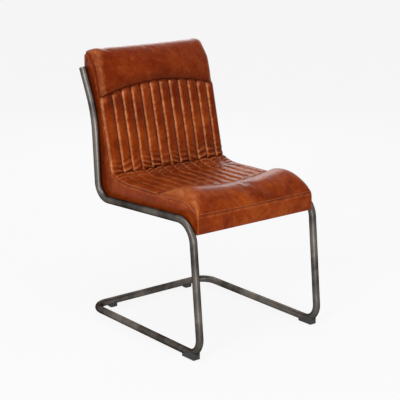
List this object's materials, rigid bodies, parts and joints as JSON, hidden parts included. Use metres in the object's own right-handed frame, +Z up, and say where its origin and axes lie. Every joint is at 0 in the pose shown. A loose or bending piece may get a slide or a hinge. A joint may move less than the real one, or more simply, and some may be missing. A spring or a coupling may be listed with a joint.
{
  "type": "cantilever dining chair",
  "caption": "Armless cantilever dining chair: bent dark steel tube frame with a channelled tan leather seat and back between its side tubes.",
  "frame": {"origin": "on the floor, under the middle of the chair's whole box", "axes": "+X across the chair to the sitter's left, +Y to the rear, +Z up"},
  "size_m": [0.48, 0.576, 0.8276],
  "materials": {
    "dark_steel": "dark antique, satin",
    "plain_steel": "zinc plated",
    "black_plastic": "matt",
    "plywood": "raw",
    "webbing": "woven",
    "foam": "open cell",
    "tan_leather": "aged, waxed",
    "black_cloth": "woven, matt"
  },
  "bodies": {
    "root": {"frame_tube_right": "dark_steel", "frame_tube_left": "dark_steel", "tube_end_plugs": "dark_steel", "frame_joint_sleeve": "plain_steel", "mounting_studs": "plain_steel", "stud_washers": "plain_steel", "stud_nuts": "plain_steel", "corner_brackets": "plain_steel", "bracket_screws": "plain_steel", "dust_staples": "plain_steel", "front_glides": "black_plastic", "rear_glides": "black_plastic", "seat_side_rail_right": "plywood", "seat_side_rail_left": "plywood", "back_upright_right": "plywood", "back_upright_left": "plywood", "seat_front_rail": "plywood", "seat_rear_rail": "plywood", "back_lower_rail": "plywood", "back_top_rail": "plywood", "corner_blocks": "plywood", "seat_webbing": "webbing", "back_webbing": "webbing", "seat_foam": "foam", "back_foam": "foam", "front_roll_foam": "foam", "head_roll_foam": "foam", "seat_channel_cover": "tan_leather", "back_channel_cover": "tan_leather", "front_roll_cover": "tan_leather", "head_roll_cover": "tan_leather", "front_band": "tan_leather", "outside_back_panel": "tan_leather", "seat_side_panel_right": "tan_leather", "seat_side_panel_left": "tan_leather", "back_side_panel_right": "tan_leather", "back_side_panel_left": "tan_leather", "dust_cover": "black_cloth"}
  },
  "joints": []
}
